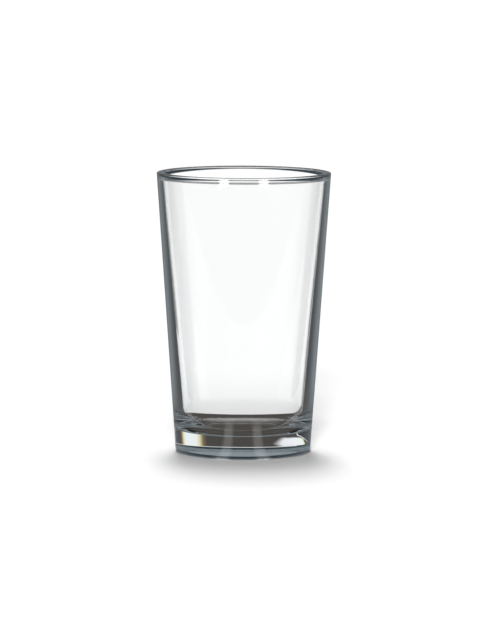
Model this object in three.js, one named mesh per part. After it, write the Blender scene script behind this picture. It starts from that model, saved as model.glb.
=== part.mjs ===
// A pint glass: one piece of pressed soda-lime glass, 16 US fl oz with 4 mm left below the brim.
// Millimetres, +Z up. The origin is the middle of the ring that the glass stands on.
// The profile is drawn as radius and height, and turned once round the axis.

import * as THREE from "three";

// Outside
const RIM_DIAMETER = 87; // the outer wall's line, carried up to the top of the lip
const GLASS_HEIGHT = 140;
const BASE_DIAMETER = 67.4; // the same line, carried down to the table
const HEEL_RADIUS = 2.6;

// Wall, lip and floor
const WALL_AT_RIM = 2.8;
const WALL_AT_FLOOR = 5;
const LIP_HEIGHT = 2.2; // from the top of the lip down to where the straight wall starts
const FLOOR_THICKNESS = 11;
const INNER_CORNER_WIDTH = 9; // the round between wall and floor is taller than it is wide
const INNER_CORNER_HEIGHT = 14;

// Underside: a flat ring to stand on, with a shallow dome pressed up inside it
const STANDING_RING_WIDTH = 4;
const DOME_RISE = 1.2;

// Facets
const STEPS_AROUND = 64;
const STEPS_PER_ROUND = 8;

const rimRadius = RIM_DIAMETER / 2;
const baseRadius = BASE_DIAMETER / 2;

// Outer wall: a straight cone from the base corner to the rim
const outerSlope = (rimRadius - baseRadius) / GLASS_HEIGHT;
const outerTilt = Math.atan(outerSlope);
const outerRadiusAt = (z) => baseRadius + outerSlope * z;

// Inner wall: a straight cone too, tilted more, so that the wall thickens towards the floor
const cornerTop = FLOOR_THICKNESS + INNER_CORNER_HEIGHT;
const lipBottom = GLASS_HEIGHT - LIP_HEIGHT;
const innerRadiusAtCorner = outerRadiusAt(cornerTop) - WALL_AT_FLOOR;
const innerRadiusAtLip = outerRadiusAt(lipBottom) - WALL_AT_RIM;
const innerSlope = (innerRadiusAtLip - innerRadiusAtCorner) / (lipBottom - cornerTop);

// Points along an elliptical round, from one angle to another, turned by tilt.
function round({ center, across, up, from, to, tilt = 0, steps = STEPS_PER_ROUND }) {
  const points = [];
  for (let i = 0; i <= steps; i++) {
    const angle = from + ((to - from) * i) / steps;
    const offset = new THREE.Vector2(across * Math.cos(angle), up * Math.sin(angle));
    points.push(offset.rotateAround(new THREE.Vector2(0, 0), tilt).add(center));
  }
  return points;
}

// The pressed-up dome, from the axis out to the inner edge of the standing ring.
function underside(ringInnerRadius) {
  const domeRadius = (ringInnerRadius ** 2 + DOME_RISE ** 2) / (2 * DOME_RISE);
  const edgeAngle = Math.acos(ringInnerRadius / domeRadius);
  const points = round({
    center: new THREE.Vector2(0, DOME_RISE - domeRadius),
    across: domeRadius,
    up: domeRadius,
    from: Math.PI / 2,
    to: edgeAngle,
  });
  points[0].x = 0;
  return points;
}

// The round between the standing ring and the outer wall, tangent to both.
function heel() {
  const centerRadius = outerRadiusAt(HEEL_RADIUS) - HEEL_RADIUS / Math.cos(outerTilt);
  return round({
    center: new THREE.Vector2(centerRadius, HEEL_RADIUS),
    across: HEEL_RADIUS,
    up: HEEL_RADIUS,
    from: -Math.PI / 2,
    to: -outerTilt,
  });
}

// The fire-polished lip: half an ellipse over the top of the wall, leaning out with it.
function lip() {
  const halfWall = WALL_AT_RIM / 2;
  const topOfRound = Math.hypot(LIP_HEIGHT * Math.cos(outerTilt), halfWall * Math.sin(outerTilt));
  const centerHeight = GLASS_HEIGHT - topOfRound;
  return round({
    center: new THREE.Vector2(outerRadiusAt(centerHeight) - halfWall, centerHeight),
    across: halfWall,
    up: LIP_HEIGHT,
    from: 0,
    to: Math.PI,
    tilt: -outerTilt,
  });
}

// The round between the inner wall and the floor: a quarter of an ellipse, tangent to both.
function innerCorner() {
  const tangentAngle = Math.atan((INNER_CORNER_HEIGHT / INNER_CORNER_WIDTH) * innerSlope);
  const reach = Math.hypot(INNER_CORNER_WIDTH, INNER_CORNER_HEIGHT * innerSlope);
  return round({
    center: new THREE.Vector2(innerRadiusAtCorner - reach, cornerTop),
    across: INNER_CORNER_WIDTH,
    up: INNER_CORNER_HEIGHT,
    from: -tangentAngle,
    to: -Math.PI / 2,
  });
}

// The whole section: underside, heel, up the outside, over the lip, down the inside, floor.
function glassProfile() {
  const heelPoints = heel();
  const ringInnerRadius = heelPoints[0].x - STANDING_RING_WIDTH;
  return [
    ...underside(ringInnerRadius),
    ...heelPoints,
    ...lip(),
    ...innerCorner(),
    new THREE.Vector2(0, FLOOR_THICKNESS),
  ];
}

function makeGlass() {
  const geometry = new THREE.LatheGeometry(glassProfile(), STEPS_AROUND);
  geometry.rotateX(Math.PI / 2);
  const glass = new THREE.MeshStandardMaterial({
    color: 0xe4eaec,
    roughness: 0.03,
    metalness: 0,
    transparent: true,
    opacity: 0.35,
  });
  const mesh = new THREE.Mesh(geometry, glass);
  mesh.name = "glass_body";
  return mesh;
}

const pintGlass = new THREE.Group();
pintGlass.add(makeGlass());

export default pintGlass;
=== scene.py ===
"""A pint glass of clear pressed glass, standing on a pale studio floor.

Everything is in metres, +Z up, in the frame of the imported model.
"""

import math

import bpy
from mathutils import Matrix, Vector, noise


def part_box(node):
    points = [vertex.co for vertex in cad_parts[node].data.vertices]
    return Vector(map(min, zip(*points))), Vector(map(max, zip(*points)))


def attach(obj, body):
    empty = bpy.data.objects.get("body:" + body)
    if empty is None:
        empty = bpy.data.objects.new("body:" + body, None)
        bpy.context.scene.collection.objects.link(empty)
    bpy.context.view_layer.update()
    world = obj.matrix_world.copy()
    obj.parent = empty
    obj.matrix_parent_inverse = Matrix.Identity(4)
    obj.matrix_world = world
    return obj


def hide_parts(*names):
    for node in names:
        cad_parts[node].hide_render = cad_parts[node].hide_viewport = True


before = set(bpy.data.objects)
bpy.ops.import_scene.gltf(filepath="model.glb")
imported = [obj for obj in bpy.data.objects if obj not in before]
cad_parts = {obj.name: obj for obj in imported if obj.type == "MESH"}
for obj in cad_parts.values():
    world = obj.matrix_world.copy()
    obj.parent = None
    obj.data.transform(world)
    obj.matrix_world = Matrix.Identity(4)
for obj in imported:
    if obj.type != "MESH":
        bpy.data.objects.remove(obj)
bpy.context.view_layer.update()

MM = 0.001

# The glass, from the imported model's box and the section that it was drawn from
BOX_LOW, BOX_HIGH = (Vector(corner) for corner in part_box("glass_body"))
HEIGHT = BOX_HIGH.z - BOX_LOW.z
LIP_RADIUS = (BOX_HIGH.x - BOX_LOW.x) / 2  # the widest ring, where the lip begins
WALL_SLOPE = 0.07  # how much the outer wall leans out for each unit of height
LIP_HEIGHT = 3.6 * MM  # from the top of the lip down to the inner wall
LIP_ROLL = 0.6 * MM  # how far the fire-polished lip has rolled inwards
LIP_CURL = 1.5  # how late the roll starts: 1 is a straight slope
LIP_ROUND = 0.5 * MM  # how far the lip's round top rises
WALL_AT_RIM = 2.8 * MM
WALL_AT_FLOOR = 5 * MM
FLOOR_THICKNESS = 11 * MM
CORNER_WIDTH = 9 * MM
CORNER_HEIGHT = 14 * MM
HEEL_RADIUS = 2.6 * MM
RING_WIDTH = 4 * MM
DOME_RISE = 1.2 * MM

# How finely the glass is turned
STEPS_AROUND = 256
WALL_STEPS = 24
NEAR_END_STEPS = 400  # one of these is the gap beside each end of a wall
ROUND_STEPS = 24
ROLL_STEPS = 14
RING_STEPS = 6
FLOOR_STEPS = 10

# What pressing and fire-polishing leave in the surface
STIPPLES = 64  # shallow ticks round the standing ring
STIPPLE_DEPTH = 0.12 * MM
WAVE_DEPTH = 0.05 * MM  # the plunger's mark: the inside is never quite true
WAVES_AROUND = 1.6
WAVES_PER_METRE = 22
WAVE_EASE = 6 * MM  # the height below the lip over which the waves set in

# The glass's material
GLASS_IOR = 1.52
GLASS_TINT = (0.72, 0.78, 0.80, 1)
TINT_DENSITY = 8
SKIN_SCALE = 45  # the size of the skin's unevenness, in its roughness and its ripple
SKIN_ROUGHNESS = 0.003
RIPPLE_STRENGTH = 0.004

# The camera
CAMERA_DISTANCE = 2.027
CAMERA_ELEVATION = math.radians(6.3)
CAMERA_ROLL = math.radians(0.22)
CAMERA_LENS = 236.9
ORBIT_CENTER = Vector((0, 0, 0.495 * HEIGHT))
AIM_POINT = Vector((0.0008, 0, 0.5102 * HEIGHT))


# ---------------------------------------------------------------- the glass

def outer_radius(height):
    return LIP_RADIUS - WALL_SLOPE * (HEIGHT - LIP_ROUND - height)


def arc(center, across, up, start, end, tilt=0.0):
    """Points along an elliptical arc, as (radius, height) pairs, turned by tilt."""
    points = []
    for i in range(ROUND_STEPS + 1):
        angle = start + (end - start) * i / ROUND_STEPS
        x = across * math.cos(angle)
        y = up * math.sin(angle)
        turned_x = x * math.cos(tilt) - y * math.sin(tilt)
        turned_y = x * math.sin(tilt) + y * math.cos(tilt)
        points.append((center[0] + turned_x, center[1] + turned_y))
    return points


def between(start, end, steps):
    """Points evenly spaced on the line between two others, leaving both of them out."""
    points = []
    for i in range(1, steps):
        share = i / steps
        points.append((start[0] + (end[0] - start[0]) * share, start[1] + (end[1] - start[1]) * share))
    return points


def tight_line(start, end):
    """Points along a wall, with one close to each end, so that the rounds don't bend its shading."""
    points = between(start, end, WALL_STEPS)
    close = between(start, end, NEAR_END_STEPS)
    return [close[0]] + points + [close[-1]]


def heel_line():
    tilt = math.atan(WALL_SLOPE)
    center_radius = outer_radius(HEEL_RADIUS) - HEEL_RADIUS / math.cos(tilt)
    return arc((center_radius, HEEL_RADIUS), HEEL_RADIUS, HEEL_RADIUS, -math.pi / 2, -tilt)


def dome_line(ring_inner_radius):
    """The pressed-up underside, from the axis to the inner edge of the standing ring."""
    dome_radius = (ring_inner_radius ** 2 + DOME_RISE ** 2) / (2 * DOME_RISE)
    edge_angle = math.acos(ring_inner_radius / dome_radius)
    points = arc((0, DOME_RISE - dome_radius), dome_radius, dome_radius, math.pi / 2, edge_angle)
    points[0] = (0.0, DOME_RISE)
    return points


def lip_line():
    """Up the outside of the lip, over its round top, and down its rolled inner side to the wall."""
    tilt = math.atan(WALL_SLOPE)
    half_lip = (WALL_AT_RIM + LIP_ROLL) / 2
    top_of_round = math.hypot(LIP_ROUND * math.cos(tilt), half_lip * math.sin(tilt))
    center_height = HEIGHT - top_of_round
    center = (outer_radius(center_height) - half_lip, center_height)
    lip_bottom = HEIGHT - LIP_HEIGHT
    points = arc(center, half_lip, LIP_ROUND, 0, math.pi, -tilt)
    roll_top = points[-1][1]
    for i in range(1, ROLL_STEPS + 1):
        share = 1 - i / ROLL_STEPS
        height = lip_bottom + (roll_top - lip_bottom) * share
        wall = WALL_AT_RIM + LIP_ROLL * share ** LIP_CURL
        points.append((outer_radius(height) - wall, height))
    return points


def corner_line():
    """The round between the inner wall and the floor, tangent to both."""
    corner_top = FLOOR_THICKNESS + CORNER_HEIGHT
    lip_bottom = HEIGHT - LIP_HEIGHT
    wall_radius = outer_radius(corner_top) - WALL_AT_FLOOR
    slope = (outer_radius(lip_bottom) - WALL_AT_RIM - wall_radius) / (lip_bottom - corner_top)
    tangent_angle = math.atan(CORNER_HEIGHT / CORNER_WIDTH * slope)
    reach = math.hypot(CORNER_WIDTH, CORNER_HEIGHT * slope)
    center = (wall_radius - reach, corner_top)
    return arc(center, CORNER_WIDTH, CORNER_HEIGHT, -tangent_angle, -math.pi / 2)


def glass_profile():
    """The section, from the underside's middle up the outside and down the inside to the floor."""
    heel = heel_line()
    ring_inner = (heel[0][0] - RING_WIDTH, 0.0)
    lip = lip_line()
    corner = corner_line()
    floor_middle = (0.0, FLOOR_THICKNESS)
    profile = dome_line(ring_inner[0])
    profile += between(ring_inner, heel[0], RING_STEPS) + heel
    profile += tight_line(heel[-1], lip[0]) + lip
    profile += tight_line(lip[-1], corner[0]) + corner
    profile += between(corner[-1], floor_middle, FLOOR_STEPS) + [floor_middle]
    return profile


def inside_share(index, profile):
    """0 on the outside of the section and 1 on the inside, easing in below the lip."""
    top = max(range(len(profile)), key=lambda i: profile[i][1])
    below_lip = HEIGHT - profile[index][1]
    if index <= top:
        return 0.0
    return min(max((below_lip - LIP_HEIGHT) / WAVE_EASE, 0.0), 1.0)


def plunger_wave(angle, height):
    """How far the inner wall stands off its true place: long, shallow, mostly upright waves."""
    spot = (WAVES_AROUND * math.cos(angle), WAVES_AROUND * math.sin(angle), WAVES_PER_METRE * height)
    return WAVE_DEPTH * noise.noise(spot)


def stipple(angle, radius, ring_inner_radius):
    """The standing ring's ticks, as the height that they leave between them."""
    across = (radius - ring_inner_radius) / RING_WIDTH
    if not 0 < across < 1:
        return 0.0
    return STIPPLE_DEPTH * math.sin(math.pi * across) * (0.5 - 0.5 * math.cos(STIPPLES * angle))


def turn_profile(name, profile, place):
    """A closed body turned round the axis; place moves each point of each section."""
    vertices = []
    rings = []
    for index, (radius, height) in enumerate(profile):
        steps = 1 if radius == 0 else STEPS_AROUND
        ring = []
        for step in range(steps):
            ring.append(len(vertices))
            vertices.append(place(index, radius, height, 2 * math.pi * step / STEPS_AROUND))
        rings.append(ring)
    faces = []
    for lower, upper in zip(rings, rings[1:]):
        for step in range(STEPS_AROUND):
            after = (step + 1) % STEPS_AROUND
            if len(lower) == 1:
                faces.append((lower[0], upper[after], upper[step]))
            elif len(upper) == 1:
                faces.append((lower[step], lower[after], upper[0]))
            else:
                faces.append((lower[step], lower[after], upper[after], upper[step]))
    mesh = bpy.data.meshes.new(name)
    mesh.from_pydata(vertices, [], faces)
    mesh.shade_smooth()
    return add_object(name, mesh)


def add_object(name, data):
    obj = bpy.data.objects.new(name, data)
    bpy.context.scene.collection.objects.link(obj)
    return obj


def make_glass():
    profile = glass_profile()
    ring_inner_radius = heel_line()[0][0] - RING_WIDTH
    inside = [inside_share(index, profile) for index in range(len(profile))]

    def place(index, radius, height, angle):
        if inside[index]:
            radius += inside[index] * plunger_wave(angle, height)
        if height == 0:
            height += stipple(angle, radius, ring_inner_radius)
        if radius <= 0:
            return (0.0, 0.0, height)
        return (radius * math.cos(angle), radius * math.sin(angle), height)

    glass = turn_profile("pressed_glass", profile, place)
    glass.data.materials.append(clear_glass())
    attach(glass, "root")
    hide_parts("glass_body")
    return glass


def clear_glass():
    """Clear soda-lime glass with a faint cool grey tint, and the fine unevenness of its skin."""
    material = bpy.data.materials.new("clear_glass")
    material.use_nodes = True
    nodes = material.node_tree.nodes
    link = material.node_tree.links.new
    shader = nodes["Principled BSDF"]
    shader.inputs["Base Color"].default_value = (1, 1, 1, 1)
    shader.inputs["Transmission Weight"].default_value = 1
    shader.inputs["IOR"].default_value = GLASS_IOR

    place = nodes.new("ShaderNodeTexCoord")
    skin = nodes.new("ShaderNodeTexNoise")
    skin.inputs["Scale"].default_value = SKIN_SCALE
    skin.inputs["Detail"].default_value = 2
    link(place.outputs["Object"], skin.inputs["Vector"])

    gloss = nodes.new("ShaderNodeMapRange")
    gloss.inputs["To Min"].default_value = 0
    gloss.inputs["To Max"].default_value = SKIN_ROUGHNESS
    link(skin.outputs["Fac"], gloss.inputs["Value"])
    link(gloss.outputs["Result"], shader.inputs["Roughness"])

    ripple = nodes.new("ShaderNodeBump")
    ripple.inputs["Strength"].default_value = RIPPLE_STRENGTH
    ripple.inputs["Distance"].default_value = MM
    link(skin.outputs["Fac"], ripple.inputs["Height"])
    link(ripple.outputs["Normal"], shader.inputs["Normal"])

    tint = nodes.new("ShaderNodeVolumeAbsorption")
    tint.inputs["Color"].default_value = GLASS_TINT
    tint.inputs["Density"].default_value = TINT_DENSITY
    link(tint.outputs["Volume"], nodes["Material Output"].inputs["Volume"])
    return material


# ---------------------------------------------------------------- the studio

def mix(stops, value):
    """The colour at a value, between the nearest two of a rising list of (value, colour) stops."""
    if value <= stops[0][0]:
        return Vector(stops[0][1])
    for (low, low_color), (high, high_color) in zip(stops, stops[1:]):
        if value <= high:
            return Vector(low_color).lerp(Vector(high_color), (value - low) / (high - low))
    return Vector(stops[-1][1])


def slide(value, low, high, start, end):
    """The number that goes from start to end as value goes from low to high."""
    share = min(max((value - low) / (high - low), 0.0), 1.0)
    return start + (end - start) * share


# What the glass bends and reflects is a glowing table round it, in one of four sets of colours, by
# the path that the light has taken. Distances are from the glass's axis, and turns are in degrees
# from +Y, which is straight away from the camera, towards +X.
VIEWS = [0, -45, -90, 135]  # the turns of the lines of view that the table is laid out for
MAIN_VIEW_TURN = 62  # a place turned less than this belongs to the first of them alone
# The dark table's colour, which is also the painted shade under the glass and round its foot
DARK_TABLE_AND_SHADE = (0.06, 0.052, 0.045)
TABLE_RADIUS = 12
TABLE_SECTORS = 720
INNER_RINGS = [0.0, 0.02, 0.04]
RING_GAP = 2 * MM  # the least gap between the table's rings
RING_GROWTH = 0.03  # farther out, the gap is this share of a ring's radius
TABLE_DEPTH = 0.2 * MM  # how far it lies below the floor

# Past both walls, the table is white, and whiter aside, where the walls reflect more of the light away.
# The stops go by how far aside of the line of view a place lies, in degrees.
PAST_BOTH_WALLS = [(0, (1.11, 1.11, 1.11)), (3, (1.12, 1.12, 1.12)), (6, (1.06, 1.06, 1.06)),
                   (9, (1.03, 1.03, 1.03)), (12, (1.1, 1.1, 1.1)), (15, (1.23, 1.23, 1.23)),
                   (20.5, (1.3, 1.3, 1.3)), (40, (1.2, 1.2, 1.2))]
WALL_SHADE = (0.08, 0.082, 0.083)  # farther aside in the main view, this darkens the walls' edges
WALL_SHADE_BEND = 22
WALL_SHADE_TURN = 80
WALL_SHADE_START = 0.34  # its nearest distance on the -X side
SHADE_RADIUS = 0.055  # the painted shade, in the dark table's colour, under the glass and round its foot
CORNER_SHADE_RADIUS = 0.125  # a corner of the shade reaches out to here, on the +X side
CORNER_SHADE_EDGE = 0.036  # the corner's least X, where it leaves the shade
CORNER_SHADE_SLANT = 0.6  # how fast that X grows with the distance
CORNER_SHADE_TURN = 62  # the corner's greatest turn
NEAR_SHADE_FADE = (SHADE_RADIUS, 0.27, 0.79, 1.0)  # painted shade fading out from the glass's foot: between two distances, the brightness at each
FAR_GREY = (0.34, 0.34, 0.34)  # the table's far end, and the room just over it
FAR_TABLE = 4

# Along the inside of one wall, the table is grey. These stops go by degrees aside too.
ALONG_A_WALL = [(0, (0.20, 0.23, 0.245)), (14, (0.18, 0.205, 0.22)), (24, (0.11, 0.12, 0.125)),
                (36, (0.05, 0.052, 0.055)), (180, (0.05, 0.052, 0.055))]
ALONG_A_WALL_NEAR = [(0.06, DARK_TABLE_AND_SHADE), (0.07, (0.09, 0.088, 0.085))]  # by distance
ALONG_A_WALL_FAR = 0.2  # from here on, the stops above hold alone

# Through one wall or the base, it is the dark table colour with glowing cards on it, which stand in for
# lamps and whose edges have painted colour fringes in place of the glass splitting the light, and open
# white wedges farther off. The cards' stops are turns across their width.
OPEN_TABLE = (1.15, 1.15, 1.15)
OPEN_WEDGES = [(0, 0.8, 25), (-90, 0.8, 25), (-45, 0.2, 12), (135, 0.2, 12)]  # turn, start, half-width
BLACK_CARD = (0.008, 0.008, 0.008)
# Painted colour fringes at the cards' edges stand in for the glass splitting the light
LEFT_CARD = [(23, DARK_TABLE_AND_SHADE), (26, (0.22, 0.15, 0.07)), (29, (0.85, 0.80, 0.50)), (32, (1.0, 1.02, 0.98)),
             (46, (1.05, 1.10, 1.15)), (50, (0.95, 0.88, 0.55)), (53, (0.35, 0.19, 0.06)),
             (57, (0.05, 0.02, 0.01)), (60, BLACK_CARD), (80, BLACK_CARD), (84, DARK_TABLE_AND_SHADE)]
LEFT_CARD_CENTER = (-5.5 * MM, 0.8 * LIP_RADIUS)  # the place that its turns are measured at
# The right card's edge has the same painted colour fringe
RIGHT_CARD = [(12, (0.95, 0.93, 0.94)), (24, (1.05, 1.03, 1.05)), (37, (1.1, 1.13, 1.12)),
              (40, (1.05, 1.12, 0.9)), (42, (0.80, 0.90, 0.40)), (45, (0.13, 0.11, 0.05)),
              (48, BLACK_CARD), (75, BLACK_CARD), (80, DARK_TABLE_AND_SHADE)]
RIGHT_CARD_INNER_EDGE = (0.09, 0.16, 10.5, 20)  # between two distances, its turn at each
RIGHT_CARD_FAR_EDGE = (22, 38, 0.15, 0.185)  # between two turns, its distance at each
RIGHT_CARD_CORNER = 42  # at a greater turn, it has no far edge
RIGHT_CARD_SOFT_TURN = 2
RIGHT_CARD_SOFT_WIDTH = 7 * MM
LOW_CARD_RADIUS = 0.205
LOW_CARD_TURNS = (-34, -80)
LOW_CARD_HEIGHT = 12 * MM
LOW_CARD_STEPS = 24
LOW_CARD_COLOR = (0.02, 0.018, 0.016)

# Off the surface, the light finds a grey room with the glow of two tall strip lights, either side of -Y.
GREY_ROOM = (0.26, 0.285, 0.30)
STRIP_TURN = (0.1, 0.5, 19, 25.6)  # between two distances, each strip's turn from -Y
STRIP_HALF_WIDTH = 8
STRIP_CORE = 0.4 * STRIP_HALF_WIDTH  # from here out, the strip fades
STRIP_GLOW = [(0.09, (1.7, 1.7, 1.7)), (0.11, (0, 0, 0)), (0.662, (0, 0, 0)), (0.666, (16, 16, 16))]

# The room over the table, and the elevations, in degrees, between which it takes over from the table
ALONG_A_WALL_ROOM = (0.28, 0.315, 0.34)
ONE_WALL_ROOM = (0.02, 0.035, 0.045)
ONE_WALL_RISE = (2.0, 3.0)
BOTH_WALLS_ROOM = (0.075, 0.066, 0.058)
BOTH_WALLS_RISE = (9, 12)
WHITE = (1, 1, 1)
BLACK = (0, 0, 0)
SOFT_LIGHT = (0.08, 0.08, 0.08)  # what the floor gets from all round

# Counts of bounces on the light's path, each with a half more, as a limit to test whole counts by
NONE = 0.5
THREE = 3.5
# A colour Mix node's sockets, which share their names with those of its other kinds
MIX_A, MIX_B, MIX_RESULT = 6, 7, 2

FLOOR_REACH = 24
FLOOR_PAINT = (0.9, 0.9, 0.9, 1)

# Rows of suns, with their azimuth, their softness, and each sun's elevation and strength: together
# they are one long light that runs overhead from front to back.
SUN_ROWS = [("back_sun", -176, 11, [(84, 0.62), (76, 0.66), (68, 0.62), (60, 0.46)]),
            ("front_sun", -2, 6, [(24, 1.12), (38, 0.5), (55, 0.46)])]


def bearing(x, y):
    """A place's direction, in degrees from +Y towards +X."""
    return math.degrees(math.atan2(x, y))


def bend_at(x, y):
    """How far aside of the nearest view's line a place lies, in degrees, seen from the glass's rim."""
    views = VIEWS if abs(bearing(x, y)) > MAIN_VIEW_TURN else VIEWS[:1]
    bends = []
    for view in views:
        turn = math.radians(view)
        ahead = x * math.sin(turn) + y * math.cos(turn)
        aside = abs(x * math.cos(turn) - y * math.sin(turn))
        bends.append(math.degrees(math.atan2(max(aside - LIP_RADIUS, 0), ahead)))
    return min(bends)


def in_shade(x, distance, turn):
    corner_edge = CORNER_SHADE_EDGE + CORNER_SHADE_SLANT * (distance - SHADE_RADIUS)
    in_corner = distance < CORNER_SHADE_RADIUS and x > corner_edge and turn < CORNER_SHADE_TURN
    return distance < SHADE_RADIUS or in_corner


def in_wall_shade(distance, turn, bend):
    past_start = turn > 0 or distance > WALL_SHADE_START
    return bend > WALL_SHADE_BEND and abs(turn) < WALL_SHADE_TURN and past_start


def past_both_walls(x, y):
    distance = math.hypot(x, y)
    turn = bearing(x, y)
    if in_shade(x, distance, turn):
        return DARK_TABLE_AND_SHADE
    if distance > FAR_TABLE:
        return FAR_GREY
    bend = bend_at(x, y)
    if in_wall_shade(distance, turn, bend):
        return WALL_SHADE
    return mix(PAST_BOTH_WALLS, bend) * slide(distance, *NEAR_SHADE_FADE)


def along_a_wall(x, y):
    far_color = mix(ALONG_A_WALL, bend_at(x, y))
    return mix(ALONG_A_WALL_NEAR + [(ALONG_A_WALL_FAR, far_color)], math.hypot(x, y))


def right_card(turn, distance):
    """The right card is cut slantwise, so its colour depends on the distance too."""
    inner_edge = slide(distance, *RIGHT_CARD_INNER_EDGE)
    far_edge = slide(turn, *RIGHT_CARD_FAR_EDGE)
    share = slide(turn - inner_edge, -RIGHT_CARD_SOFT_TURN, RIGHT_CARD_SOFT_TURN, 0, 1)
    if turn < RIGHT_CARD_CORNER:
        share *= slide(distance - far_edge, -RIGHT_CARD_SOFT_WIDTH, RIGHT_CARD_SOFT_WIDTH, 1, 0)
    return Vector(DARK_TABLE_AND_SHADE).lerp(mix(RIGHT_CARD, turn), share)


def in_open_wedge(distance, turn):
    for middle, start, half_width in OPEN_WEDGES:
        if distance > start and abs(turn - middle) < half_width:
            return True
    return False


def through_one_wall(x, y):
    distance = math.hypot(x, y)
    turn = bearing(x, y)
    if in_open_wedge(distance, turn):
        return OPEN_TABLE
    if turn >= 0:
        return mix(LEFT_CARD, bearing(x - LEFT_CARD_CENTER[0], y - LEFT_CARD_CENTER[1]))
    return right_card(-turn, distance)


def off_the_surface(x, y):
    distance = math.hypot(x, y)
    strip_turn = slide(distance, *STRIP_TURN)
    from_strip = abs(180 - abs(bearing(x, y)) - strip_turn)
    strip = mix(STRIP_GLOW, distance)
    edge = slide(from_strip, STRIP_CORE, STRIP_HALF_WIDTH, 1, 0)
    return Vector(GREY_ROOM) + strip * edge


TABLE_RULES = (off_the_surface, through_one_wall, along_a_wall, past_both_walls)


def colors_by_path(tree, off_surface, one_wall, along_wall, both_walls):
    """One of four colours, by the path that the light has taken on its way from the glass."""
    nodes = tree.nodes
    link = tree.links.new
    path = nodes.new("ShaderNodeLightPath")

    def more_than(output, limit):
        node = nodes.new("ShaderNodeMath")
        node.operation = "GREATER_THAN"
        node.inputs[1].default_value = limit
        link(path.outputs[output], node.inputs[0])
        return node.outputs["Value"]

    def choose(test, yes, no):
        node = nodes.new("ShaderNodeMix")
        node.data_type = "RGBA"
        link(test, node.inputs["Factor"])
        link(no, node.inputs[MIX_A])
        link(yes, node.inputs[MIX_B])
        return node.outputs[MIX_RESULT]

    inside = choose(more_than("Glossy Depth", NONE), along_wall, one_wall)
    through = choose(more_than("Transmission Depth", THREE), both_walls, inside)
    return choose(more_than("Transmission Depth", NONE), through, off_surface)


def plain_color(tree, color):
    node = tree.nodes.new("ShaderNodeRGB")
    node.outputs["Color"].default_value = (*color, 1)
    return node.outputs["Color"]


def table_glow():
    """Glows with one of the table's four sets of colours."""
    material = bpy.data.materials.new("table_glow")
    material.use_nodes = True
    tree = material.node_tree
    tree.nodes.clear()
    layers = []
    for rule in TABLE_RULES:
        layer = tree.nodes.new("ShaderNodeVertexColor")
        layer.layer_name = rule.__name__
        layers.append(layer.outputs["Color"])
    glow = tree.nodes.new("ShaderNodeEmission")
    output = tree.nodes.new("ShaderNodeOutputMaterial")
    tree.links.new(colors_by_path(tree, *layers), glow.inputs["Color"])
    tree.links.new(glow.outputs["Emission"], output.inputs["Surface"])
    return material


def only_seen_in_glass(obj):
    obj.visible_camera = False
    obj.visible_diffuse = False
    obj.visible_shadow = False
    obj.visible_volume_scatter = False


def make_table():
    """The table that the glass bends and reflects: rings of coloured patches round the glass."""
    sectors = TABLE_SECTORS
    rings = list(INNER_RINGS)
    while rings[-1] < TABLE_RADIUS:
        rings.append(rings[-1] + max(RING_GAP, RING_GROWTH * rings[-1]))
    rings = sorted(rings + [distance for distance, glow in STRIP_GLOW])
    places = []
    for radius in rings:
        for sector in range(sectors):
            angle = 2 * math.pi * sector / sectors
            places.append((radius * math.sin(angle), radius * math.cos(angle)))
    faces = []
    for ring in range(len(rings) - 1):
        for sector in range(sectors):
            after = (sector + 1) % sectors
            low = ring * sectors
            high = low + sectors
            faces.append((low + sector, high + sector, high + after, low + after))
    mesh = bpy.data.meshes.new("table")
    mesh.from_pydata([(x, y, -TABLE_DEPTH) for x, y in places], [], faces)
    for rule in TABLE_RULES:
        layer = mesh.color_attributes.new(rule.__name__, "FLOAT_COLOR", "POINT")
        for item, (x, y) in zip(layer.data, places):
            item.color = (*rule(x, y), 1)
    mesh.materials.append(table_glow())
    only_seen_in_glass(add_object("table", mesh))


def low_card_paint():
    """Black to light that has come through one wall, and clear to all other light."""
    material = bpy.data.materials.new("black_card")
    material.use_nodes = True
    tree = material.node_tree
    tree.nodes.clear()
    clear = plain_color(tree, BLACK)
    solid = plain_color(tree, WHITE)
    nothing = tree.nodes.new("ShaderNodeBsdfTransparent")
    glow = tree.nodes.new("ShaderNodeEmission")
    glow.inputs["Color"].default_value = (*LOW_CARD_COLOR, 1)
    mixed = tree.nodes.new("ShaderNodeMixShader")
    output = tree.nodes.new("ShaderNodeOutputMaterial")
    tree.links.new(colors_by_path(tree, clear, solid, clear, clear), mixed.inputs["Fac"])
    tree.links.new(nothing.outputs["BSDF"], mixed.inputs[1])
    tree.links.new(glow.outputs["Emission"], mixed.inputs[2])
    tree.links.new(mixed.outputs["Shader"], output.inputs["Surface"])
    return material


def make_low_card():
    """A low upright card beyond the right one, so that no white shows beside that one."""
    start, end = LOW_CARD_TURNS
    places = []
    for step in range(LOW_CARD_STEPS + 1):
        angle = math.radians(start + (end - start) * step / LOW_CARD_STEPS)
        for height in (0, LOW_CARD_HEIGHT):
            places.append((LOW_CARD_RADIUS * math.sin(angle), LOW_CARD_RADIUS * math.cos(angle), height))
    faces = []
    for step in range(LOW_CARD_STEPS):
        low = 2 * step
        faces.append((low, low + 2, low + 3, low + 1))
    mesh = bpy.data.meshes.new("low_card")
    mesh.from_pydata(places, [], faces)
    mesh.materials.append(low_card_paint())
    only_seen_in_glass(add_object("low_card", mesh))


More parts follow.
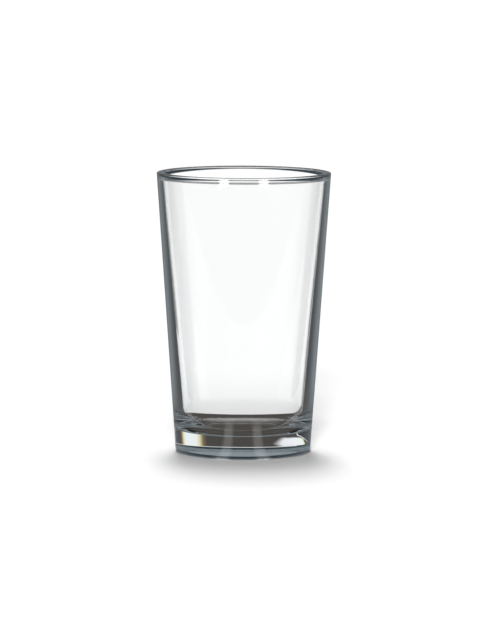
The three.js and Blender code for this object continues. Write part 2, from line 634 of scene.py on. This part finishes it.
def make_floor():
    """The white floor that the camera sees, with the glass's shadow on it."""
    reach = FLOOR_REACH
    mesh = bpy.data.meshes.new("floor")
    corners = [(-reach, -reach, 0), (reach, -reach, 0), (reach, reach, 0), (-reach, reach, 0)]
    mesh.from_pydata(corners, [], [(0, 1, 2, 3)])
    material = bpy.data.materials.new("floor_paint")
    material.use_nodes = True
    shader = material.node_tree.nodes["Principled BSDF"]
    shader.inputs["Base Color"].default_value = FLOOR_PAINT
    shader.inputs["Roughness"].default_value = 1
    shader.inputs["Specular IOR Level"].default_value = 0
    mesh.materials.append(material)
    floor = add_object("floor", mesh)
    floor.visible_glossy = False
    floor.visible_transmission = False


def make_world():
    """White for the camera, soft light for the floor, and four dim rooms for the glass."""
    world = bpy.data.worlds.new("studio")
    bpy.context.scene.world = world
    world.use_nodes = True
    tree = world.node_tree
    nodes = tree.nodes
    link = tree.links.new
    nodes.clear()
    ray = nodes.new("ShaderNodeLightPath")

    def background(color):
        node = nodes.new("ShaderNodeBackground")
        node.inputs["Color"].default_value = (*color, 1)
        return node

    def choose(kind, yes, no):
        node = nodes.new("ShaderNodeMixShader")
        link(ray.outputs[kind], node.inputs["Fac"])
        link(no.outputs[0], node.inputs[1])
        link(yes.outputs[0], node.inputs[2])
        return node

    # Past the walls, the room has the far table's colour just over it and is dark above
    direction = nodes.new("ShaderNodeTexCoord")
    split = nodes.new("ShaderNodeSeparateXYZ")
    link(direction.outputs["Generated"], split.inputs["Vector"])

    def low_then_high(low_color, high_color, start, end):
        """One colour up to an elevation of start degrees, and another from end degrees up."""
        height = nodes.new("ShaderNodeMapRange")
        height.inputs["From Min"].default_value = math.sin(math.radians(start))
        height.inputs["From Max"].default_value = math.sin(math.radians(end))
        link(split.outputs["Z"], height.inputs["Value"])
        node = nodes.new("ShaderNodeMix")
        node.data_type = "RGBA"
        link(height.outputs["Result"], node.inputs["Factor"])
        node.inputs[MIX_A].default_value = (*low_color, 1)
        node.inputs[MIX_B].default_value = (*high_color, 1)
        return node.outputs[MIX_RESULT]

    one_wall = low_then_high(OPEN_TABLE, ONE_WALL_ROOM, *ONE_WALL_RISE)
    both_walls = low_then_high(FAR_GREY, BOTH_WALLS_ROOM, *BOTH_WALLS_RISE)

    room = background(WHITE)
    off_surface = plain_color(tree, GREY_ROOM)
    along_wall = plain_color(tree, ALONG_A_WALL_ROOM)
    link(colors_by_path(tree, off_surface, one_wall, along_wall, both_walls), room.inputs["Color"])
    not_seen = choose("Is Diffuse Ray", background(SOFT_LIGHT), room)
    seen = choose("Is Camera Ray", background(WHITE), not_seen)
    output = nodes.new("ShaderNodeOutputWorld")
    link(seen.outputs[0], output.inputs["Surface"])


def make_sun(name, azimuth, elevation, softness, strength):
    """A sun from an azimuth, degrees from the camera's side towards +X, and an elevation."""
    light = bpy.data.lights.new(name, "SUN")
    light.energy = strength
    light.angle = math.radians(softness)
    sun = add_object(name, light)
    turn = math.radians(azimuth)
    rise = math.radians(elevation)
    source = Vector((math.sin(turn) * math.cos(rise), -math.cos(turn) * math.cos(rise), math.sin(rise)))
    sun.rotation_euler = source.to_track_quat("Z", "Y").to_euler()
    sun.visible_glossy = False
    sun.visible_transmission = False


def make_lights():
    for name, azimuth, softness, suns in SUN_ROWS:
        for elevation, strength in suns:
            make_sun(name, azimuth, elevation, softness, strength)


def make_camera():
    camera = bpy.data.cameras.new("camera")
    camera.lens = CAMERA_LENS
    camera.sensor_width = 36
    camera.clip_start = 0.01
    camera.clip_end = 100
    holder = add_object("camera", camera)
    back = Vector((0, -math.cos(CAMERA_ELEVATION), math.sin(CAMERA_ELEVATION)))
    place = ORBIT_CENTER + CAMERA_DISTANCE * back
    look = (AIM_POINT - place).to_track_quat("-Z", "Y").to_matrix().to_4x4()
    holder.matrix_world = Matrix.Translation(place) @ look @ Matrix.Rotation(CAMERA_ROLL, 4, "Z")
    bpy.context.scene.camera = holder


def set_scene():
    scene = bpy.context.scene
    scene.view_settings.view_transform = "Standard"
    scene.cycles.max_bounces = 32
    scene.cycles.transmission_bounces = 32
    scene.cycles.glossy_bounces = 16


make_camera()
make_glass()
make_table()
make_low_card()
make_floor()
make_world()
make_lights()
set_scene()
